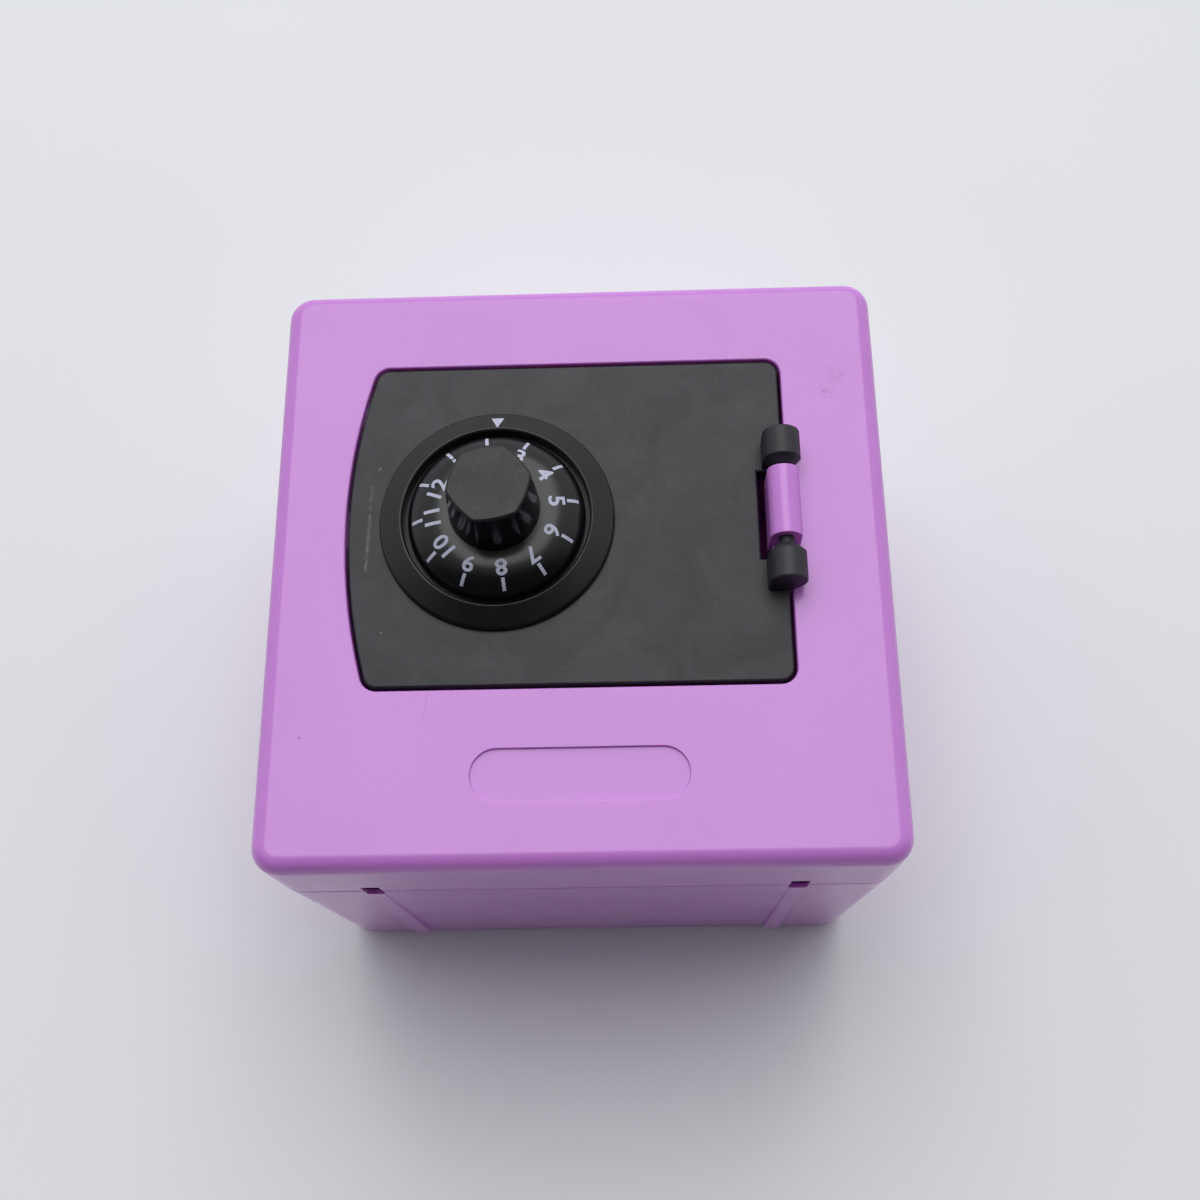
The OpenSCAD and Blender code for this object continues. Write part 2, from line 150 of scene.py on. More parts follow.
class BankDoor(bpy.types.PropertyGroup):
    """Sizes and colour of the door, its opening and its hinge."""

    opening_width: length("Opening width", 0.0546, "Width of the door opening at mid height")
    opening_height: length("Opening height", 0.0433, "Height of the door opening")
    opening_right: length("Opening right", 0.0258, "Right edge of the opening from the middle")
    bow: length("Bow radius", 0.076, "Radius of the opening's bowed left side")
    corner: length("Corner radius", 0.002, "Radius of the opening's corners")
    gap: length("Door gap", 0.0004, "Gap between the door and its opening")
    thickness: length("Door thickness", 0.002, "Thickness of the door")
    barrel: length("Barrel radius", 0.00195, "Radius of the cover's hinge barrel")
    barrel_length: length("Barrel length", 0.009, "Length of the cover's hinge barrel")
    knuckle: length("Knuckle radius", 0.0023, "Radius of the door's knuckles")
    knuckle_length: length("Knuckle length", 0.0038, "Length of each knuckle")
    pin: length("Pin radius", 0.00088, "Radius of the knuckles' stub pins")
    charcoal: colour("Door colour", (0.0158, 0.016, 0.0212), "Colour of the door's plastic")


class BankDial(bpy.types.PropertyGroup):
    """Sizes and colours of the dial, its bezel and their print."""

    rim: length("Rim radius", 0.01095, "Radius of the dial's rim")
    rim_height: length("Rim height", 0.00045, "Height of the dial's rim above the door")
    shoulder: length("Shoulder height", 0.0036, "Height of the dial at the knob's foot")
    knob_foot: length("Knob foot radius", 0.00563, "Radius of the knob at its foot")
    knob_top: length("Knob top radius", 0.00515, "Radius of the knob's top over its corners")
    knob_bow: length("Knob bow", 0.00027, "Bow of each side at the knob's top")
    knob_turn: turn("Knob turn", math.radians(19.5), "Turn of the knob's first corner from the top, clockwise")
    bezel_in: length("Bezel inner radius", 0.0115, "Inner radius of the bezel")
    skirt: length("Skirt radius", 0.012, "Inner radius of the bezel's skirt, which sits in the door's groove")
    first_tick: turn("First tick", math.radians(-37), "Turn of the tick for 1 from the top, clockwise")
    tick_near: length("Tick inner end", 0.00883, "Radius of the ticks' inner ends")
    tick_far: length("Tick outer end", 0.01022, "Radius of the ticks' outer ends")
    tick_width: length("Tick width", 0.00042, "Width of each tick")
    number_radius: length("Number radius", 0.0076, "Radius of the numbers' middles")
    number_height: length("Number height", 0.002, "Height of the numbers")
    gloss_black: colour("Dial colour", (0.005, 0.0053, 0.006), "Colour of the dial and its knob")
    satin_black: colour("Bezel colour", (0.007, 0.007, 0.0078), "Colour of the bezel")
    ink: colour("Print colour", (0.5, 0.52, 0.66), "Colour of the ticks, the numbers and the pointer")


class BankStage(bpy.types.PropertyGroup):
    """The backdrop, floor, light and camera."""

    paper: colour("Backdrop colour", (0.892, 0.908, 0.922), "Colour of the backdrop and the floor")
    key_power: bpy.props.FloatProperty(
        name="Key light", description="Power of the overhead light", default=5.6, min=0.0, unit="POWER"
    )
    fill: bpy.props.FloatProperty(
        name="Fill light", description="Strength of the light from all round", default=0.8, min=0.0
    )
    lens: bpy.props.FloatProperty(
        name="Lens", description="Focal length on a 36 mm sensor, in millimetres", default=42.671, min=10.0
    )
    camera_place: bpy.props.FloatVectorProperty(
        name="Camera place",
        description="Where the camera stands",
        default=(0.0070883, -0.1850551, -0.0272406),
        size=3,
        precision=5,
        subtype="TRANSLATION",
        unit="LENGTH",
    )
    camera_turn: bpy.props.FloatVectorProperty(
        name="Camera turn",
        description="Turn of the camera about X, Y and Z",
        default=(math.radians(110.29390), math.radians(0.58374), math.radians(1.83190)),
        size=3,
        precision=4,
        subtype="EULER",
        unit="ROTATION",
    )


# ---------- handling ----------


def start_clean():
    """Leaves edit mode and selects nothing."""
    if bpy.context.object and bpy.context.object.mode != "OBJECT":
        bpy.ops.object.mode_set(mode="OBJECT")
    bpy.ops.object.select_all(action="DESELECT")


def take(piece):
    """Selects one piece alone and makes it the active one."""
    start_clean()
    piece.select_set(True)
    bpy.context.view_layer.objects.active = piece


def set_down(name):
    """Names the newly added object and puts its place, turn and size into its mesh."""
    piece = bpy.context.object
    piece.name = name
    piece.data.name = name
    bpy.ops.object.transform_apply(location=True, rotation=True, scale=True)
    return piece


def block(name, low, high):
    """A block between two corners."""
    start_clean()
    low, high = Vector(low), Vector(high)
    bpy.ops.mesh.primitive_cube_add(size=1, location=(low + high) / 2)
    bpy.context.object.scale = high - low
    return set_down(name)


def bar(name, start, end, radius, sides=64):
    """A round bar from one point to another."""
    start_clean()
    start, end = Vector(start), Vector(end)
    along = end - start
    bpy.ops.mesh.primitive_cylinder_add(
        vertices=sides,
        radius=radius,
        depth=along.length,
        location=(start + end) / 2,
        rotation=along.to_track_quat("Z", "Y").to_euler(),
    )
    return set_down(name)


def pick(piece, kind, test):
    """Opens a piece in edit mode and selects the vertices, edges or faces that pass a test."""
    take(piece)
    bpy.ops.object.mode_set(mode="EDIT")
    bpy.ops.mesh.select_mode(type=kind)
    bpy.ops.mesh.select_all(action="DESELECT")
    mesh = bmesh.from_edit_mesh(piece.data)
    parts = {"VERT": mesh.verts, "EDGE": mesh.edges, "FACE": mesh.faces}[kind]
    found = [part for part in parts if test(part)]
    if not found:
        raise RuntimeError(f"nothing to select on {piece.name}")
    for part in found:
        part.select_set(True)
    bmesh.update_edit_mesh(piece.data)


def on_dial(depth):
    """A point of the dial's axis, at a depth behind the face."""
    return Vector((DIAL.x, FACE + depth, DIAL.z))


def on_hinge(z):
    """A point of the hinge's axis."""
    return Vector((HINGE.x, HINGE.y, z))


def close(a, b, within=1e-5):
    """True where two numbers are the same to a hundredth of a millimetre."""
    return abs(a - b) < within


def middle(part):
    """Middle of an edge or a face."""
    return sum((v.co for v in part.verts), Vector()) / len(part.verts)


def runs_along(edge, axis, within=0.03):
    """True where an edge runs along X, Y or Z."""
    step = edge.verts[1].co - edge.verts[0].co
    return step.length > 1e-7 and abs(step.normalized()["XYZ".index(axis)]) > 1 - within


def is_rim(edge, y):
    """True where an edge bounds a flat face that lies in the plane at that y."""
    if not all(close(v.co.y, y) for v in edge.verts):
        return False
    flat = [abs(face.normal.y) > 0.9 for face in edge.link_faces]
    return any(flat) and not all(flat)


def is_end(edge, axis):
    """True where an edge bounds one of the flat ends that face along X, Y or Z."""
    facing = [abs(face.normal["XYZ".index(axis)]) > 0.99 for face in edge.link_faces]
    return any(facing) and not all(facing)


def soften(piece, test, width, segments=3):
    """Rounds the edges that pass a test."""
    pick(piece, "EDGE", test)
    bpy.ops.mesh.bevel(
        offset_type="OFFSET", offset=width, segments=segments, affect="EDGES", clamp_overlap=False
    )
    start_clean()


def push(piece, test, step, scale=None, centre=None):
    """Extrudes the faces that pass a test by a step, then resizes them about a centre."""
    pick(piece, "FACE", test)
    bpy.ops.mesh.extrude_region_move(TRANSFORM_OT_translate={"value": step})
    if scale:
        bpy.ops.transform.resize(value=scale, center_override=centre)
    start_clean()


def hollow(piece, test, wall, step, scale=None, centre=None):
    """Leaves a wall round the face that passes a test and sinks the rest of it by a step."""
    pick(piece, "FACE", test)
    bpy.ops.mesh.inset(thickness=wall, use_even_offset=True)
    bpy.ops.mesh.extrude_region_move(TRANSFORM_OT_translate={"value": step})
    if scale:
        bpy.ops.transform.resize(value=scale, center_override=centre)
    start_clean()


def shape(piece, kind, **settings):
    """Adds a modifier with its settings and applies it."""
    take(piece)
    modifier = piece.modifiers.new(kind.lower(), kind)
    for name, value in settings.items():
        setattr(modifier, name, value)
    bpy.ops.object.modifier_apply(modifier=modifier.name)


def combine(piece, tools, way):
    """Joins tools to a piece, or cuts them from it, and removes the tools."""
    for tool in tools:
        shape(piece, "BOOLEAN", operation=way, object=tool, solver="EXACT")
        bpy.data.objects.remove(tool)
    return piece


def turned(name, profile, centre, segments=128):
    """A closed outline of radius and height in front of the door, turned round the dial's axis."""
    start_clean()
    bpy.ops.mesh.primitive_plane_add(size=MM)
    piece = set_down(name)
    bpy.ops.object.mode_set(mode="EDIT")
    bpy.ops.mesh.select_mode(type="VERT")
    bpy.ops.mesh.select_all(action="SELECT")
    bpy.ops.mesh.merge(type="CENTER")
    points = [centre + Vector((r, -h, 0)) for r, h in profile]
    here = Vector()
    for i, point in enumerate(points + [points[0]]):
        step = {"value": point - here}
        if i == 0:
            bpy.ops.transform.translate(**step)
        else:
            bpy.ops.mesh.extrude_region_move(TRANSFORM_OT_translate=step)
        here = point
    bpy.ops.mesh.select_all(action="SELECT")
    bpy.ops.mesh.remove_doubles(threshold=1e-7)
    bpy.ops.mesh.spin(steps=segments, angle=2 * math.pi, center=centre, axis=(0, 1, 0))
    bpy.ops.mesh.select_all(action="SELECT")
    bpy.ops.mesh.remove_doubles(threshold=2e-7)
    bpy.ops.mesh.dissolve_degenerate(threshold=1e-7)
    bpy.ops.mesh.normals_make_consistent(inside=False)
    start_clean()
    return piece


def finish(piece, body, node, material, angle=32):
    """Smooths a piece's round faces, dresses it and puts it on its body in its node's place."""
    take(piece)
    bpy.ops.object.shade_smooth_by_angle(angle=math.radians(angle))
    shape(piece, "WEIGHTED_NORMAL", keep_sharp=True, weight=100)
    piece.data.materials.clear()
    piece.data.materials.append(material)
    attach(piece, body)
    if node:
        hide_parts(node)
    return piece


# ---------- materials ----------


class Nodes:
    """A node tree under construction: adds nodes, fills their inputs and links them."""

    def __init__(self, tree, place):
        self.nodes, self.links = tree.nodes, tree.links
        self.place = self.nodes.new("ShaderNodeTexCoord").outputs[place]

    def fill(self, socket, value):
        """Links an input to another node's output, or gives it a plain value."""
        if hasattr(value, "links"):
            self.links.new(value, socket)
        elif value is not None:
            socket.default_value = value

    def add(self, kind, **inputs):
        """Adds a node and fills its inputs."""
        node = self.nodes.new("ShaderNode" + kind)
        for name, value in inputs.items():
            self.fill(node.inputs[name.replace("_", " ")], value)
        return node

    def mapped(self, scale=(1, 1, 1), turn=(0, 0, 0)):
        """The place, turned and stretched."""
        return self.add("Mapping", Vector=self.place, Rotation=turn, Scale=scale).outputs["Vector"]

    def noise(self, scale, detail=2.0, rough=0.5, vector=None, distortion=0.0):
        """Noise of a given fineness, in cycles a metre."""
        node = self.add("TexNoise", Vector=vector or self.place, Scale=scale, Detail=detail)
        self.fill(node.inputs["Roughness"], rough)
        self.fill(node.inputs["Distortion"], distortion)
        return node.outputs["Fac"]

    def ramp(self, value, low, high, out_low=0.0, out_high=1.0):
        """Spreads a range of values over another."""
        spread = {"From_Min": low, "From_Max": high, "To_Min": out_low, "To_Max": out_high}
        return self.add("MapRange", Value=value, **spread).outputs["Result"]

    def maths(self, operation, *values):
        """A math node over sockets and numbers."""
        node = self.add("Math")
        node.operation = operation
        for socket, value in zip(node.inputs, values):
            self.fill(socket, value)
        return node.outputs["Value"]

    def vector(self, operation, a, b=None):
        """A vector math node over sockets and vectors."""
        node = self.add("VectorMath")
        node.operation = operation
        self.fill(node.inputs[0], a)
        self.fill(node.inputs["Scale"] if operation == "SCALE" else node.inputs[1], b)
        return node.outputs["Value" if operation in ("DOT_PRODUCT", "LENGTH") else "Vector"]

    def mix(self, share, first, second):
        """Mixes two colours, each a colour or a socket."""
        node = self.add("Mix")
        node.data_type = "RGBA"
        self.fill(node.inputs["Factor"], share)
        for index, value in ((6, first), (7, second)):
            self.fill(node.inputs[index], value if hasattr(value, "links") else (*value, 1))
        return node.outputs[2]

    def bump(self, height, distance, under=None):
        """Relief of a given height in metres."""
        return self.add("Bump", Height=height, Distance=distance, Normal=under).outputs["Normal"]

    def choose(self, share, first, second, output):
        """Mixes two shaders into the output."""
        node = self.add("MixShader", Fac=share)
        self.fill(node.inputs[1], first)
        self.fill(node.inputs[2], second)
        self.fill(self.nodes[output].inputs["Surface"], node.outputs["Shader"])


class Finish(Nodes):
    """A material under construction, laid out by Object coordinates."""

    def __init__(self, name):
        old = bpy.data.materials.get(name)
        if old:
            bpy.data.materials.remove(old)
        self.material = bpy.data.materials.new(name)
        self.material.use_nodes = True
        super().__init__(self.material.node_tree, "Object")
        self.shader = self.nodes["Principled BSDF"]

    def dress(self, **inputs):
        """Fills the shader's own inputs and hands the material over."""
        for name, value in inputs.items():
            self.fill(self.shader.inputs[name.replace("_", " ")], value)
        return self.material

    def hairlines(self, along, across, turn, low, high):
        """Sparse hairlines that run one way."""
        streaks = self.noise(1.0, 3.0, 0.6, self.mapped((across, across, along), turn))
        patches = self.noise(along * 0.7, 1.0)
        return self.maths("MULTIPLY", self.ramp(streaks, low, high), self.ramp(patches, 0.48, 0.6))

    def stroke(self, start, end, width):
        """A mark from one point of the face to another, each as (x, z) in millimetres."""
        start, end = (Vector((p[0] * MM, 0, p[1] * MM)) for p in (start, end))
        flat = self.vector("MULTIPLY", self.place, (1, 0, 1))
        out = self.vector("SUBTRACT", flat, start)
        along = end - start
        share = self.ramp(self.vector("DOT_PRODUCT", out, along), 0, along.length_squared)
        reach = self.vector("SCALE", along, share)
        away = self.vector("LENGTH", self.vector("SUBTRACT", out, reach))
        return self.ramp(away, width * MM, 0)

    def most(self, first, *others):
        """The greatest of several values."""
        for other in others:
            first = self.maths("MAXIMUM", first, other)
        return first


def shade(tone, by):
    """A tone made lighter or darker."""
    return tuple(min(1.0, part * by) for part in tone)


def clouded(name, tones, gloss, cloud, low=0.3, grain=None, brush=(1, 1, 1), **inputs):
    """A finish whose tint and gloss drift together, with a fine grain where one is given."""
    made = Finish(name)
    drift = made.noise(*cloud)
    if grain:
        inputs["Normal"] = made.bump(made.noise(grain, vector=made.mapped(brush)), FINE_RELIEF)
    return made.dress(
        Base_Color=made.mix(made.ramp(drift, low, 0.7), *tones),
        Roughness=made.ramp(drift, low, 0.7, *gloss),
        **inputs,
    )


def case_plastic(tone):
    """Glossy moulded plastic: faint mottling, soft sink marks and signs of handling."""
    made = Finish("case_plastic")
    tint = made.mix(made.noise(60.0, 3.0, 0.55), shade(tone, 0.95), shade(tone, 1.05))
    broken = made.ramp(made.noise(900.0, 3.0), 0.4, 0.65, 0.0, 0.5)
    smudge = made.maths("MULTIPLY", made.stroke((32.9, 62.3), (31.2, 59.6), 1.6), broken)
    hairline = made.maths("MULTIPLY", made.stroke((-17.9, 21.0), (-18.5, 17.4), 0.09), 0.5)
    speck = made.stroke((-32.9, 15.7), (-32.8, 15.7), 0.22)
    for mark in (smudge, hairline, speck):
        tint = made.mix(mark, tint, (tone[0] * 0.62, tone[1] * 0.4, tone[2] * 0.55))
    smears = made.noise(110.0, 3.0, 0.5, made.mapped((1, 1, 0.5), (0.0, 0.5, 0.0)))
    sink = made.bump(made.noise(45.0, 0.0), 0.22 * MM)
    return made.dress(
        Base_Color=tint,
        Roughness=made.ramp(smears, 0.2, 0.8, 0.13, 0.25),
        Normal=made.bump(made.noise(1500.0, 1.0), FINE_RELIEF, sink),
        IOR=1.54,
        Subsurface_Weight=0.3,
        Subsurface_Scale=2.5 * MM,
        Subsurface_Radius=(1.0, 0.22, 0.6),
    )


def door_plastic(tone):
    """Matt charcoal plastic with a fine grain, rubbed patches, specks, hairlines and a gouge."""
    made = Finish("door_plastic")
    rubs = made.noise(130.0, 4.0, 0.65, distortion=0.8)
    grain = made.noise(4200.0, 2.0, 0.7)
    tint = made.mix(made.ramp(rubs, 0.3, 0.75), shade(tone, 0.88), shade(tone, 1.25))
    tint = made.mix(made.ramp(grain, 0.5, 0.75, 0.0, 0.35), tint, shade(tone, 2.6))
    ends = ((9.9, 62.2), (21.7, 61.9)), ((10.4, 59.8), (19.5, 60.6)), ((21.8, 61.9), (22.4, 60.4))
    scratches = [made.maths("MULTIPLY", made.stroke(start, end, 0.07), 0.6) for start, end in ends]
    lines = made.most(
        made.hairlines(40.0, 3600.0, (0.0, 1.45, 0.0), 0.66, 0.72),
        made.hairlines(34.0, 3000.0, (0.0, 0.2, 0.0), 0.68, 0.74),
        *scratches,
    )
    tint = made.mix(made.maths("MULTIPLY", lines, 0.5), tint, shade(tone, 4.5))
    chips = made.ramp(made.noise(2100.0, 3.0, 0.75), 0.42, 0.62)
    marks = made.most(
        made.maths("MULTIPLY", made.stroke((-25.7, 47.8), (-26.0, 36.6), 0.32), chips),
        made.stroke((-24.9, 50.1), (-24.7, 50.3), 0.16),
        made.stroke((-23.9, 28.5), (-23.7, 28.6), 0.14),
    )
    rough = made.ramp(rubs, 0.3, 0.75, 0.57, 0.48)
    return made.dress(
        Base_Color=made.mix(made.maths("MULTIPLY", marks, 0.8), tint, (0.2, 0.2, 0.19)),
        Roughness=made.maths("ADD", rough, made.ramp(grain, 0.3, 0.7, -0.05, 0.05)),
        Normal=made.bump(lines, -0.01 * MM, made.bump(grain, 0.014 * MM)),
        IOR=1.5,
    )


def bezel_plastic(tone):
    """Satin black plastic, clouded by handling."""
    tones, gloss, cloud = (tone, shade(tone, 1.35)), (0.19, 0.25), (160.0, 3.0, 0.6)
    return clouded("bezel_plastic", tones, gloss, cloud, low=0.35, grain=4200.0, IOR=1.45)


def dial_plastic(tone, knob_face):
    """Gloss black plastic that is rubbed hazy on the knob's flat top."""
    made = Finish("dial_plastic")
    cloud = made.noise(210.0, 3.0, 0.6)
    depth = made.add("SeparateXYZ", Vector=made.place).outputs["Y"]
    top = made.ramp(depth, knob_face + 0.35 * MM, knob_face + 0.1 * MM)
    specks = made.ramp(made.noise(1500.0, 2.0, 0.7), 0.62, 0.72)
    gloss = made.ramp(cloud, 0.35, 0.7, 0.21, 0.26)
    haze = made.ramp(cloud, 0.35, 0.7, 0.42, 0.5)
    haze = made.maths("SUBTRACT", haze, made.maths("MULTIPLY", specks, 0.12))
    side = made.maths("MULTIPLY", gloss, made.maths("SUBTRACT", 1.0, top))
    return made.dress(
        Base_Color=made.mix(made.ramp(cloud, 0.3, 0.7), tone, shade(tone, 1.3)),
        Roughness=made.maths("ADD", side, made.maths("MULTIPLY", haze, top)),
        Normal=made.bump(made.noise(900.0, 2.0), FINE_RELIEF),
        IOR=1.45,
    )


def print_ink(tone):
    """Pad printed ink: slightly uneven cover."""
    made = Finish("print_ink")
    cover = made.noise(1800.0, 3.0, 0.7)
    return made.dress(
        Base_Color=made.mix(made.ramp(cover, 0.3, 0.6), shade(tone, 0.86), tone),
        Roughness=made.ramp(cover, 0.3, 0.7, 0.35, 0.5),
    )


def lock_plastic():
    """Pale acetal with faint flow marks."""
    tones, flow = ((0.56, 0.56, 0.54), (0.64, 0.64, 0.62)), (180.0, 3.0, 0.6, None, 1.2)
    depth = {"Subsurface_Weight": 0.1, "Subsurface_Scale": MM}
    return clouded("lock_plastic", tones, (0.32, 0.42), flow, grain=3000.0, **depth)


def spacer_plastic():
    """Matt white plastic."""
    tones = ((0.68, 0.68, 0.65), (0.76, 0.76, 0.74))
    return clouded("spacer_plastic", tones, (0.45, 0.55), (400.0, 3.0, 0.6))


def zinc_steel():
    """Zinc plated steel: fine brushing and cloudy plating."""
    tones, cloud = ((0.50, 0.51, 0.53), (0.66, 0.67, 0.68)), (500.0, 4.0, 0.6)
    return clouded("zinc_steel", tones, (0.29, 0.42), cloud, grain=2600.0, brush=(1, 1, 6), Metallic=1.0)


# ---------- shapes shared by pieces ----------


def bowed_block(name, door, shrink, near, far):
    """A block with the opening's outline drawn in: straight on three sides, bowed on its left."""
    left = door.opening_right - door.opening_width
    half = door.opening_height / 2 - shrink
    piece = block(name, (left - MM, near, DIAL.z - half), (door.opening_right - shrink, far, DIAL.z + half))
    bow_x = left + door.bow
    bow = bar("bow", (bow_x, far + MM, DIAL.z), (bow_x, near - MM, DIAL.z), door.bow - shrink, 168)
    combine(piece, [bow], "INTERSECT")
    radius = door.corner - shrink
    lean = math.asin(half / (door.bow - shrink))
    is_corner = lambda e: runs_along(e, "Y") and close(abs(middle(e).z - DIAL.z), half)
    soften(piece, lambda e: is_corner(e) and middle(e).x > 0, radius, 8)
    soften(piece, lambda e: is_corner(e) and middle(e).x < 0, radius * math.tan((math.pi / 2 - lean) / 2), 8)
    return piece


def case_block(name, inset, near, far, radius):
    """A block with the case's rounded outline, drawn in by an inset."""
    piece = block(
        name,
        (COVER_LOW.x + inset, near, COVER_LOW.z + inset),
        (COVER_HIGH.x - inset, far, COVER_HIGH.z - inset),
    )
    soften(piece, lambda e: runs_along(e, "Y"), radius, 10)
    return piece


def catch_blocks(grow):
    """The four snap catches, or their pockets where they are grown."""
    made = []
    half = CATCH_HALF + Vector((grow, grow, grow))
    for x in (-CATCH_X, CATCH_X):
        for z in (CATCH_IN, COVER_HIGH.z - CATCH_IN):
            place = Vector((x, COVER_HIGH.y - CATCH_BACK, z))
            made.append(block("catch", place - half, place + half))
    return made


def window_blocks(case, near, far):
    """Cutters for the windows over the two rails."""
    half = case.rail_width / 2
    return [
        block("window", (x - half, near, -MM), (x + half, far, 1.2 * MM)) for x in (-case.rail_x, case.rail_x)
    ]


# ---------- pieces ----------


class BANK_OT_front_cover(bpy.types.Operator):
    """Model the front cover: face, skirt, door opening, shallow panel and hinge barrel"""

    bl_idname = "bank.front_cover"
    bl_label = "Front cover"

    def press_panel(self, case, cover):
        """Presses the shallow panel into the face under the door."""
        half = Vector((case.panel_width / 2, 0, case.panel_height / 2))
        panel = block(
            "panel",
            (-half.x, FACE - MM, case.panel_z - half.z),
            (half.x, FACE + case.panel_depth, case.panel_z + half.z),
        )
        soften(panel, lambda e: runs_along(e, "Y"), half.z - SINK, 16)
        combine(cover, [panel], "DIFFERENCE")
        for depth, width in ((0.0, 0.1 * MM), (case.panel_depth, EDGE_BREAK)):

            def by_panel(edge):
                place = middle(edge)
                beside = abs(place.x) < half.x + NEAR_EDGE
                level = abs(place.z - case.panel_z) < half.z + NEAR_EDGE
                return is_rim(edge, FACE + depth) and beside and level

            soften(cover, by_panel, width, 2)

    def add_barrel(self, door, cover):
        """Adds the hinge barrel: a bar whose back half runs down to the tongue in the opening."""
        low = DIAL.z + BARREL_RISE - door.barrel_length / 2
        high = low + door.barrel_length
        barrel = bar("barrel", on_hinge(low), on_hinge(high), door.barrel)
        web = block(
            "web",
            (HINGE.x - door.barrel, HINGE.y, low + SINK),
            (HINGE.x + door.barrel, FACE + 1.9 * MM, high - SINK),
        )
        for part in (barrel, web):
            soften(part, lambda e: is_end(e, "Z"), 0.15 * MM, 2)
        combine(barrel, [web], "UNION")
        combine(cover, [barrel], "UNION")
        bore = bar("bore", on_hinge(low - 2 * MM), on_hinge(high + 2 * MM), door.pin + 0.06 * MM, 48)
        combine(cover, [bore], "DIFFERENCE")

    def execute(self, context):
        case, door = context.scene.bank_case, context.scene.bank_door
        depth = COVER_HIGH.y - FACE
        cover = case_block("cover", 0.0, FACE, COVER_HIGH.y, case.corner)
        soften(cover, lambda e: is_rim(e, FACE), case.edge, 8)
        # hollow it out from behind
        hollow(cover, lambda f: f.normal.y > 0.9, case.cover_wall, (0, case.cover_wall - depth, 0))
        soften(cover, lambda e: is_rim(e, COVER_HIGH.y), EDGE_BREAK, 2)
        # door opening, with a slightly rounded rim
        left, half = door.opening_right - door.opening_width, door.opening_height / 2
        tongue_half = door.barrel_length / 2 + 0.8 * MM
        tongue = block(
            "tongue",
            (HINGE.x - door.barrel + 0.4 * MM, FACE - 2 * MM, DIAL.z - tongue_half),
            (door.opening_right + MM, FACE + 4 * MM, DIAL.z + tongue_half),
        )
        opening = bowed_block("opening", door, 0.0, FACE - MM, FACE + 3 * MM)
        combine(opening, [tongue], "DIFFERENCE")
        combine(cover, [opening], "DIFFERENCE")

        def by_opening(edge):
            place = middle(edge)
            beside = left - NEAR_EDGE < place.x < door.opening_right + NEAR_EDGE
            return is_rim(edge, FACE) and beside and abs(place.z - DIAL.z) < half + NEAR_EDGE

        soften(cover, by_opening, 0.22 * MM, 3)
        self.press_panel(case, cover)
        # windows over the rails and pockets for the catches
        combine(cover, window_blocks(case, COVER_HIGH.y - case.window, COVER_HIGH.y + MM), "DIFFERENCE")
        combine(cover, catch_blocks(0.1 * MM), "DIFFERENCE")
        self.add_barrel(door, cover)
        # keeper behind the door's left side, and the ledges that the door closes against
        front = FACE + door.thickness + 0.2 * MM
        back = front + STOP_THICK
        root, root_back = FACE + case.cover_wall - BITE, front + NEAR_EDGE
        start = left - case.cover_wall
        low, high = DIAL.z - KEEPER_HALF, DIAL.z + KEEPER_HALF
        stops = [
            block("keeper", (start, front, low), (DIAL.x - KEEPER_TIP, back, high)),
            block("keeper_root", (start, root, low), (start + 2 * MM, root_back, high)),
        ]
        for side in (-1, 1):
            edge = DIAL.z + side * half
            outer = edge + side * LEDGE_OUT
            for name, inner, near, far in (
                ("ledge", edge - side * LEDGE_IN, front, back),
                ("ledge_root", edge + side * BITE, root, root_back),
            ):
                low, high = sorted((inner, outer))
                stops.append(block(name, (DIAL.x - LEDGE_HALF, near, low), (DIAL.x + LEDGE_HALF, far, high)))
        combine(cover, stops, "UNION")
        finish(cover, "case", "front_cover", case_plastic(case.orchid))
        return {"FINISHED"}


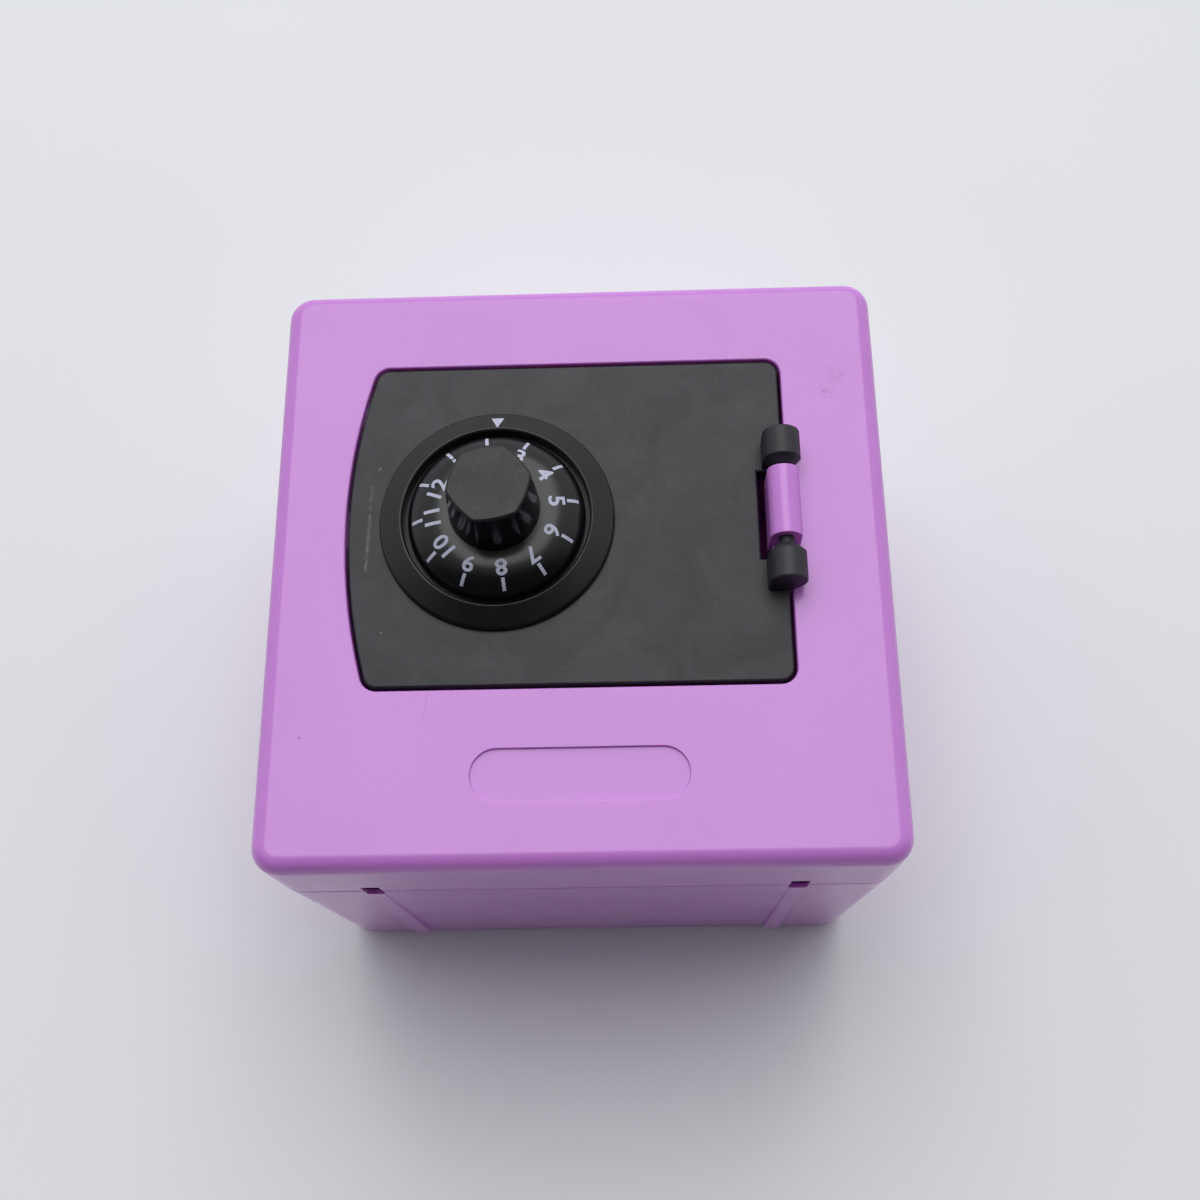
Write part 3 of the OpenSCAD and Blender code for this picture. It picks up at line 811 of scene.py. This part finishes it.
class BANK_OT_rear_body(bpy.types.Operator):
    """Model the rear body: tapered walls, back, lip with catches, rails and coin slot"""

    bl_idname = "bank.rear_body"
    bl_label = "Rear body"

    def execute(self, context):
        case = context.scene.bank_case
        near, far = COVER_HIGH.y + 0.55 * MM, BODY_HIGH.y
        centre = Vector((0, far, (COVER_LOW.z + COVER_HIGH.z) / 2))
        half = COVER_HIGH.x - case.step
        body = block("body", (-half, near, centre.z - half), (half, far, centre.z + half))
        pick(body, "FACE", lambda f: f.normal.y > 0.9)
        shrink = (half - case.taper) / half
        bpy.ops.transform.resize(value=(shrink, 1, shrink), center_override=centre)
        start_clean()
        soften(body, lambda e: runs_along(e, "Y"), case.corner - case.step, 10)
        soften(body, lambda e: is_rim(e, far), case.edge, 8)
        # hollow it out from the front, with the same taper inside
        inner, floor = half - case.body_wall, far - near - case.body_wall
        shrink = (inner - case.taper * floor / (far - near)) / inner
        hollow(body, lambda f: f.normal.y < -0.9, case.body_wall, (0, floor, 0), (shrink, 1, shrink), centre)

        def at_mouth(edge):
            place = middle(edge) - centre
            return is_rim(edge, near) and max(abs(place.x), abs(place.z)) > half - MM

        soften(body, at_mouth, EDGE_BREAK, 2)
        # lip that reaches into the cover, with its four catches
        lip_front = COVER_HIGH.y - LIP_REACH
        lip = case_block("lip", LIP_IN, lip_front, near + MM, LIP_CORNER)
        soften(lip, lambda e: is_rim(e, lip_front), 0.2 * MM, 2)
        seat = case_block("seat", MM, near, near + 2.5 * MM, LIP_CORNER)
        combine(lip, [seat] + catch_blocks(0.0), "UNION")
        mouth = case_block("mouth", LIP_IN + MM, lip_front - MM, near + 4 * MM, 0.6 * MM)
        combine(lip, [mouth], "DIFFERENCE")
        # rails under the case
        rails = []
        for x in (-case.rail_x, case.rail_x):
            end = far - case.edge - 2 * MM
            rail = block(
                "rail", (x - case.rail_width / 2, near, COVER_LOW.z), (x + case.rail_width / 2, end, 1.8 * MM)
            )
            soften(rail, lambda e: close(middle(e).z, COVER_LOW.z), 0.3 * MM, 3)
            pick(rail, "VERT", lambda v: v.co.y > near + MM and v.co.z < MM)
            bpy.ops.transform.translate(value=(0, 0, 0.2 * MM))
            start_clean()
            rails.append(rail)
        combine(body, [lip] + rails, "UNION")
        # coin slot in the top
        slot_y = (FACE + 17 * MM + far) / 2
        top = centre.z + half
        slot = block(
            "slot",
            (-case.slot_length / 2, slot_y - case.slot_width / 2, top - 4 * MM),
            (case.slot_length / 2, slot_y + case.slot_width / 2, top + MM),
        )
        soften(slot, lambda e: runs_along(e, "Z"), 0.8 * MM, 6)
        combine(body, [slot], "DIFFERENCE")

        def by_slot(edge):
            place = middle(edge)
            beside = abs(place.x) < case.slot_length / 2 + NEAR_EDGE
            inside = beside and abs(place.y - slot_y) < case.slot_width / 2 + NEAR_EDGE
            facing = [face.normal.z for face in edge.link_faces]
            return inside and place.z > top - MM and max(facing) > 0.9 and min(map(abs, facing)) < 0.1

        soften(body, by_slot, 0.3 * MM, 3)
        combine(body, window_blocks(case, near - SINK, COVER_HIGH.y + case.window), "DIFFERENCE")
        finish(body, "case", "rear_body", bpy.data.materials["case_plastic"])
        return {"FINISHED"}


class BANK_OT_door(bpy.types.Operator):
    """Model the door: bowed plate, hinge knuckles with pins, ribs and the boss for the lock"""

    bl_idname = "bank.door"
    bl_label = "Door"

    def knuckle(self, door, side):
        """A knuckle with a cone and a stub pin towards the barrel, and a flank down to the door."""
        base = DIAL.z + side * (door.barrel_length / 2 + NOTCH_ROOM + 0.4 * MM)
        end = base + side * door.knuckle_length
        low, high = sorted((base, end))
        at_end = lambda e: is_end(e, "Z") and close(middle(e).z, end, 2e-5)
        piece = bar("knuckle", on_hinge(low), on_hinge(high), door.knuckle)
        soften(piece, at_end, 0.35 * MM, 4)
        faces_barrel = lambda f: f.normal.z * side < -0.9
        share = CONE_RADIUS / door.knuckle
        push(piece, faces_barrel, (0, 0, -side * CONE_LENGTH), (share, share, 1), on_hinge(base))
        pick(piece, "FACE", faces_barrel)
        bpy.ops.mesh.inset(thickness=CONE_RADIUS - door.pin, use_even_offset=True)
        start_clean()
        pin_tip = DIAL.z + BARREL_RISE + side * (door.barrel_length / 2 - PIN_REACH)

        def is_pin_end(face):
            reach = max((v.co.xy - HINGE.xy).length for v in face.verts)
            return faces_barrel(face) and reach < door.pin + NEAR_EDGE

        push(piece, is_pin_end, (0, 0, pin_tip - (base - side * CONE_LENGTH)))
        flank = block(
            "flank", (HINGE.x - door.knuckle, HINGE.y, low + SINK), (HINGE.x, FACE + 0.5 * MM, high - SINK)
        )
        soften(flank, at_end, 0.35 * MM, 4)
        combine(piece, [flank], "UNION")
        return piece

    def execute(self, context):
        door = context.scene.bank_door
        back = FACE + door.thickness
        plate = bowed_block("door_leaf", door, door.gap, FACE, back)
        notch_x = HINGE.x - door.barrel - 0.95 * MM
        notch_half = door.barrel_length / 2 + NOTCH_ROOM
        notch = block(
            "notch",
            (notch_x, FACE - MM, DIAL.z - notch_half),
            (door.opening_right + MM, back + MM, DIAL.z + notch_half),
        )
        combine(plate, [notch], "DIFFERENCE")
        soften(plate, lambda e: is_rim(e, FACE), 0.28 * MM, 3)
        combine(plate, [self.knuckle(door, side) for side in (-1, 1)], "UNION")
        # ribs along the back, then the stepped boss that carries the lock
        ribs, rib_back = [], back + 1.8 * MM
        for side in (-1, 1):
            z = DIAL.z + side * (door.opening_height / 2 - 3 * MM)
            low = (DIAL.x - 12 * MM, back - BITE, z - 0.6 * MM)
            rib = block("rib", low, (HINGE.x - 6 * MM, rib_back, z + 0.6 * MM))
            soften(rib, lambda e: close(middle(e).y, rib_back), 0.15 * MM, 2)
            ribs.append(rib)
        root = door.thickness - BITE
        collar = bar("collar", on_dial(root), on_dial(COLLAR_BACK), COLLAR, 96)
        boss = bar("boss", on_dial(root), on_dial(BOSS_BACK), BOSS, 96)
        combine(plate, ribs + [collar, boss], "UNION")
        combine(plate, [bar("shaft_hole", on_dial(-MM), on_dial(BOSS_BACK + MM), SHAFT_HOLE, 96)], "DIFFERENCE")
        inner = context.scene.bank_dial.skirt - 0.05 * MM
        outer = inner + 0.9 * MM
        groove = turned("groove", [(inner, MM), (outer, MM), (outer, -0.85 * MM), (inner, -0.85 * MM)], DIAL)
        combine(plate, [groove], "DIFFERENCE")
        plate.name = plate.data.name = "door_leaf"
        finish(plate, "door", "door", door_plastic(door.charcoal))
        return {"FINISHED"}


class BANK_OT_bezel(bpy.types.Operator):
    """Model the bezel round the dial"""

    bl_idname = "bank.bezel"
    bl_label = "Dial bezel"

    def execute(self, context):
        dial = context.scene.bank_dial
        outer = (BEZEL_HIGH.x - BEZEL_LOW.x) / 2
        inner = dial.bezel_in
        height = FACE - BEZEL_LOW.y
        crown, lip = inner + 0.38 * MM, height - 0.35 * MM
        shoulder = (outer - 0.5 * MM, height - 0.95 * MM)
        foot_height = 0.3 * MM
        profile = [
            (inner, 0.0),
            (dial.skirt, 0.0),
            (dial.skirt, -0.8 * MM),
            (dial.skirt + 0.8 * MM, -0.8 * MM),
            (dial.skirt + 0.8 * MM, 0.0),
            (outer, 0.0),
        ]
        for i in range(9):
            a = math.radians(73 * i / 8)
            profile.append(
                (
                    shoulder[0] + (outer - shoulder[0]) * (math.cos(a) - math.cos(math.radians(73)) * i / 8),
                    foot_height + (shoulder[1] - foot_height) * math.sin(a) / math.sin(math.radians(73)),
                )
            )
        profile.append((crown, height))
        for i in range(1, 9):
            a = math.radians(90 * i / 8)
            profile.append((crown - (crown - inner) * math.sin(a), lip + (height - lip) * math.cos(a)))
        ring = turned("bezel_ring", profile, DIAL, 160)
        finish(ring, "door", "dial_bezel", bezel_plastic(dial.satin_black))
        return {"FINISHED"}


class BANK_OT_dial(bpy.types.Operator):
    """Model the dial: domed skirt, six-sided knob that grows out of a round foot, and shaft"""

    bl_idname = "bank.dial"
    bl_label = "Dial and knob"

    def knob(self, dial, height):
        """The knob, drawn upright and then laid on the dial's axis."""
        start_clean()
        bottom = dial.shoulder - 0.6 * MM
        bpy.ops.mesh.primitive_cylinder_add(
            vertices=6, radius=dial.knob_top, depth=height - bottom, location=(0, 0, (height + bottom) / 2)
        )
        knob = set_down("knob")
        soften(knob, lambda e: runs_along(e, "Z"), 0.28 * MM, 3)
        pick(knob, "EDGE", lambda e: not runs_along(e, "Z") and (e.verts[0].co - e.verts[1].co).length > MM)
        bpy.ops.mesh.subdivide(number_cuts=11)
        start_clean()
        for name, z, size, share in (
            ("top", height, dial.knob_top, dial.knob_bow / (dial.knob_top * (1 - math.cos(math.pi / 6)))),
            ("foot", bottom, dial.knob_foot, 1.0),
        ):
            ring = knob.vertex_groups.new(name=name)
            ring.add([v.index for v in knob.data.vertices if close(v.co.z, z)], 1.0, "REPLACE")
            bow = {"use_z": False, "use_radius_as_size": False, "size": size, "radius": 0, "factor": share}
            shape(knob, "CAST", cast_type="CYLINDER", vertex_group=name, **bow)
        knob.vertex_groups.clear()
        soften(knob, lambda e: all(close(v.co.z, height) for v in e.verts), 0.3 * MM, 4)
        take(knob)
        upright = Matrix.Rotation(math.pi / 2, 4, "X")
        knob.matrix_world = Matrix.Translation(DIAL) @ Matrix.Rotation(dial.knob_turn, 4, "Y") @ upright
        bpy.ops.object.transform_apply(location=True, rotation=True, scale=True)
        return knob

    def execute(self, context):
        dial = context.scene.bank_dial
        height = FACE - KNOB_LOW.y
        foot = dial.knob_foot + 0.4 * MM
        under, hollow, hollow_foot = 0.3 * MM, 1.4 * MM, dial.rim - 2.8 * MM
        profile = [(0.0, dial.shoulder)]
        steps = 22
        for i in range(steps + 1):
            a = math.radians(90 - 90 * i / steps)
            profile.append(
                (
                    foot + (dial.rim - foot) * math.cos(a),
                    dial.rim_height + (dial.shoulder - dial.rim_height) * math.sin(a),
                )
            )
        profile += [
            (dial.rim, under),
            (hollow_foot, under),
            (hollow_foot, hollow),
            (SHAFT + 1.4 * MM, hollow),
            (SHAFT + 1.4 * MM, under),
            (SHAFT, under),
            (SHAFT, -SHAFT_BACK),
            (0.0, -SHAFT_BACK),
        ]
        skirt = turned("dial_skirt", profile, DIAL, 144)
        hub = bar("hub", on_dial(SHAFT_BACK - BITE), on_dial(HUB_BACK), HUB, 6)
        combine(skirt, [self.knob(dial, height), hub], "UNION")
        hole = bar("screw_hole", on_dial(SCREW_DEPTH), on_dial(HUB_BACK + 1.4 * MM), SCREW_HOLE, 32)
        combine(skirt, [hole], "DIFFERENCE")
        skirt.name = skirt.data.name = "dial_knob"
        finish(skirt, "dial", "dial", dial_plastic(dial.gloss_black, KNOB_LOW.y), 26)
        return {"FINISHED"}


class BANK_OT_print(bpy.types.Operator):
    """Print the ticks and numbers on the dial and the pointer on the bezel"""

    bl_idname = "bank.print"
    bl_label = "Printed marks"

    def lay_on(self, mark, ground, cuts):
        """Lays a flat mark on the surface behind it as a thin film of ink."""
        take(mark)
        bpy.ops.object.mode_set(mode="EDIT")
        bpy.ops.mesh.select_all(action="SELECT")
        bpy.ops.mesh.quads_convert_to_tris()
        if cuts:
            bpy.ops.mesh.subdivide(number_cuts=cuts)
        start_clean()
        take(mark)
        forwards = {"use_project_y": True, "use_positive_direction": True, "use_negative_direction": False}
        shape(mark, "SHRINKWRAP", wrap_method="PROJECT", target=ground, offset=INK_LIFT, **forwards)
        shape(mark, "SOLIDIFY", thickness=INK_FILM, offset=-1)

    def stand(self, mark, turn, radius, front):
        """Stands a flat mark in front of the dial, its top outwards, at a turn from the dial's top."""
        out = Vector((math.sin(turn), 0, math.cos(turn)))
        mark.rotation_euler = (Matrix.Rotation(turn, 3, "Y") @ Matrix.Rotation(math.pi / 2, 3, "X")).to_euler()
        mark.location = Vector((DIAL.x, front, DIAL.z)) + out * radius

    def tick(self, dial, front):
        """The first tick, in front of the dial."""
        start_clean()
        bpy.ops.mesh.primitive_grid_add(x_subdivisions=2, y_subdivisions=6, size=1)
        tick = bpy.context.object
        tick.scale = (dial.tick_width, dial.tick_far - dial.tick_near, 1)
        self.stand(tick, dial.first_tick, (dial.tick_near + dial.tick_far) / 2, front)
        return set_down("tick")

    def copy_round(self, mark, turn):
        """A copy of a mark, with its own mesh, turned round the dial's axis."""
        take(mark)
        bpy.ops.object.duplicate()
        copy = bpy.context.object
        copy.matrix_world = Matrix.Translation(DIAL) @ Matrix.Rotation(turn, 4, "Y") @ Matrix.Translation(-DIAL)
        return set_down(mark.name)

    def number(self, dial, value, front):
        """A number in front of the dial, in line with its tick."""
        start_clean()
        bpy.ops.object.text_add()
        text = bpy.context.object
        text.data.body = str(value)
        text.data.offset = 0.022
        text.data.space_character = 1.05
        text.data.resolution_u = 5
        bpy.ops.object.convert(target="MESH")
        bpy.ops.object.origin_set(type="ORIGIN_GEOMETRY", center="BOUNDS")
        number = bpy.context.object
        size = dial.number_height / number.dimensions.y
        number.scale = (1.12 * size, size, size)
        self.stand(number, dial.first_tick + (value - 1) * math.pi / 6, dial.number_radius, front)
        return set_down(f"number_{value}")

    def join(self, name, marks):
        """Joins marks into one piece."""
        take(marks[0])
        for mark in marks:
            mark.select_set(True)
        bpy.ops.object.join()
        marks[0].name = marks[0].data.name = name
        return marks[0]

    def execute(self, context):
        dial = context.scene.bank_dial
        ground = bpy.data.objects["dial_knob"]
        ink = print_ink(dial.ink)
        front = FACE - 8 * MM
        first = self.tick(dial, front)
        self.lay_on(first, ground, 0)
        ticks, numbers = [first], []
        for k in range(1, 12):
            ticks.append(self.copy_round(first, k * math.pi / 6))
        for k in range(1, 13):
            number = self.number(dial, k, front)
            self.lay_on(number, ground, 3)
            numbers.append(number)
        for name, marks in (("dial_ticks", ticks), ("dial_numbers", numbers)):
            piece = self.join(name, marks)
            finish(piece, "dial", None, ink)
        # pointer on the bezel, its tip towards the dial
        start_clean()
        bpy.ops.mesh.primitive_circle_add(vertices=3, radius=1, fill_type="NGON")
        pointer = bpy.context.object
        pointer.scale = (0.92 * MM, 1.13 * MM, 1)
        self.stand(pointer, math.pi, -12.95 * MM, front)
        set_down("pointer_mark")
        self.lay_on(pointer, bpy.data.objects["bezel_ring"], 5)
        finish(pointer, "door", None, ink)
        return {"FINISHED"}


class BANK_OT_lock(bpy.types.Operator):
    """Dress the lock's discs, spacers, washer and screw"""

    bl_idname = "bank.lock"
    bl_label = "Lock parts"

    def execute(self, context):
        plans = {
            "lock_plastic": (lock_plastic(), ("drive_disc", "rear_tumbler", "front_tumbler")),
            "spacer_plastic": (spacer_plastic(), ("rear_spacer", "front_spacer")),
            "zinc_steel": (zinc_steel(), ("screw_washer", "lock_screw")),
        }
        for slot, (material, names) in plans.items():
            for name in names:
                node = frame["nodes"][name]
                for place in node.material_slots:
                    place.material = material
        return {"FINISHED"}


class BANK_OT_stage(bpy.types.Operator):
    """Set up the backdrop, the floor, the light and the camera"""

    bl_idname = "bank.stage"
    bl_label = "Stage"

    def sheet(self, name, material, turn, place, hole=None):
        """A wide sheet, with a hole where the bank leans against it."""
        start_clean()
        bpy.ops.mesh.primitive_plane_add(size=4)
        sheet = bpy.context.object
        if hole:
            bpy.ops.object.mode_set(mode="EDIT")
            bpy.ops.mesh.select_all(action="SELECT")
            bpy.ops.mesh.inset(thickness=1.5, use_even_offset=True)
            bpy.ops.transform.resize(value=(hole[0], hole[1], 1), center_override=(0, 0, 0))
            bpy.ops.transform.translate(value=(0, hole[2], 0))
            bpy.ops.mesh.delete(type="FACE")
            start_clean()
            take(sheet)
        sheet.rotation_euler = turn
        sheet.location = place
        set_down(name)
        sheet.data.materials.append(material)
        return sheet

    def paper(self, name, tone, everywhere):
        """Matt paper that shows from its front only, so that it hides nothing from behind."""
        made = Finish(name)
        cloud = made.ramp(made.noise(9.0, 3.0, 0.5), 0.3, 0.7)
        made.dress(Base_Color=made.mix(cloud, shade(tone, 0.985), shade(tone, 1.01)), Roughness=0.9, IOR=1.3)
        hidden = made.add("NewGeometry").outputs["Backfacing"]
        if not everywhere:
            seen = made.add("LightPath").outputs["Is Camera Ray"]
            hidden = made.maths("MAXIMUM", hidden, made.maths("SUBTRACT", 1.0, seen))
        clear = made.add("BsdfTransparent").outputs["BSDF"]
        made.choose(hidden, made.shader.outputs["BSDF"], clear, "Material Output")
        return made.material

    def lamp(self, name, place, aim, size, power):
        """A soft rectangular lamp aimed at a point."""
        start_clean()
        bpy.ops.object.light_add(type="AREA", location=place)
        lamp = bpy.context.object
        lamp.name = name
        lamp.data.shape = "RECTANGLE"
        lamp.data.size, lamp.data.size_y = size
        lamp.data.energy = power
        lamp.rotation_euler = (Vector(aim) - Vector(place)).to_track_quat("-Z", "Y").to_euler()

    def room(self, scene, fill):
        """A pale world that darkens towards the ground and shows the camera one plain tone."""
        scene.world = bpy.data.worlds.new("room")
        scene.world.use_nodes = True
        sky = Nodes(scene.world.node_tree, "Generated")
        height = sky.add("SeparateXYZ", Vector=sky.place).outputs["Z"]
        lit = sky.nodes["Background"]
        sky.fill(lit.inputs["Color"], (0.97, 0.98, 1.0, 1))
        sky.fill(lit.inputs["Strength"], sky.maths("MULTIPLY", sky.ramp(height, -0.42, 0.2, 0.05), fill))
        plain = sky.add("Background", Color=(0.76, 0.78, 0.81, 1), Strength=1.0)
        seen = sky.add("LightPath").outputs["Is Camera Ray"]
        sky.choose(seen, lit.outputs["Background"], plain.outputs["Background"], "World Output")

    def execute(self, context):
        stage = context.scene.bank_stage
        scene = context.scene
        scene.view_settings.view_transform = "Standard"
        # the backdrop stands behind the bank and the floor lies under it
        self.sheet(
            "backdrop",
            self.paper("backdrop_paper", stage.paper, True),
            (math.pi / 2, 0, 0),
            (0, BODY_HIGH.y + 0.05 * MM, 0),
            (0.072, 0.072, COVER_HIGH.z / 2),
        )
        self.sheet("floor", self.paper("floor_paper", stage.paper, False), (0, 0, 0), (0, 0, -0.05 * MM))
        self.lamp("overhead", (0.0, -0.95, 0.5), (0, 0, 0.03), (0.8, 1.0), stage.key_power)
        self.room(scene, stage.fill)
        # camera, low in front of the door and looking up at it
        start_clean()
        bpy.ops.object.camera_add(location=stage.camera_place, rotation=stage.camera_turn)
        camera = context.object
        camera.name = "camera"
        camera.data.sensor_width = 36.0
        camera.data.lens = stage.lens
        camera.data.clip_start = 0.01
        camera.data.clip_end = 20.0
        scene.camera = camera
        return {"FINISHED"}


class BANK_PT_panel(bpy.types.Panel):
    """Lists the bank's pieces and their settings"""

    bl_idname = "BANK_PT_panel"
    bl_label = "Toy safe coin bank"
    bl_space_type = "VIEW_3D"
    bl_region_type = "UI"
    bl_category = "Bank"

    def draw(self, context):
        layout, scene = self.layout, context.scene
        for title, settings, operators in (
            ("Case", scene.bank_case, ("bank.front_cover", "bank.rear_body")),
            ("Door", scene.bank_door, ("bank.door",)),
            ("Dial", scene.bank_dial, ("bank.bezel", "bank.dial", "bank.print", "bank.lock")),
            ("Stage", scene.bank_stage, ("bank.stage",)),
        ):
            box = layout.box()
            box.label(text=title)
            for name in operators:
                box.operator(name)
            for name in settings.__annotations__:
                box.prop(settings, name)


GROUPS = {"bank_case": BankCase, "bank_door": BankDoor, "bank_dial": BankDial, "bank_stage": BankStage}
CLASSES = (
    *GROUPS.values(),
    BANK_OT_front_cover,
    BANK_OT_rear_body,
    BANK_OT_door,
    BANK_OT_bezel,
    BANK_OT_dial,
    BANK_OT_print,
    BANK_OT_lock,
    BANK_OT_stage,
    BANK_PT_panel,
)


def register():
    """Registers the classes and hangs their settings on the scene."""
    for cls in CLASSES:
        bpy.utils.register_class(cls)
    for name, group in GROUPS.items():
        setattr(bpy.types.Scene, name, bpy.props.PointerProperty(type=group))


def unregister():
    """Takes the settings and the classes away again."""
    for name in GROUPS:
        delattr(bpy.types.Scene, name)
    for cls in reversed(CLASSES):
        bpy.utils.unregister_class(cls)


def main():
    """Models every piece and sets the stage."""
    register()
    for build in (
        bpy.ops.bank.stage,
        bpy.ops.bank.front_cover,
        bpy.ops.bank.rear_body,
        bpy.ops.bank.door,
        bpy.ops.bank.bezel,
        bpy.ops.bank.dial,
        bpy.ops.bank.print,
        bpy.ops.bank.lock,
    ):
        build()


if __name__ == "__main__":
    main()
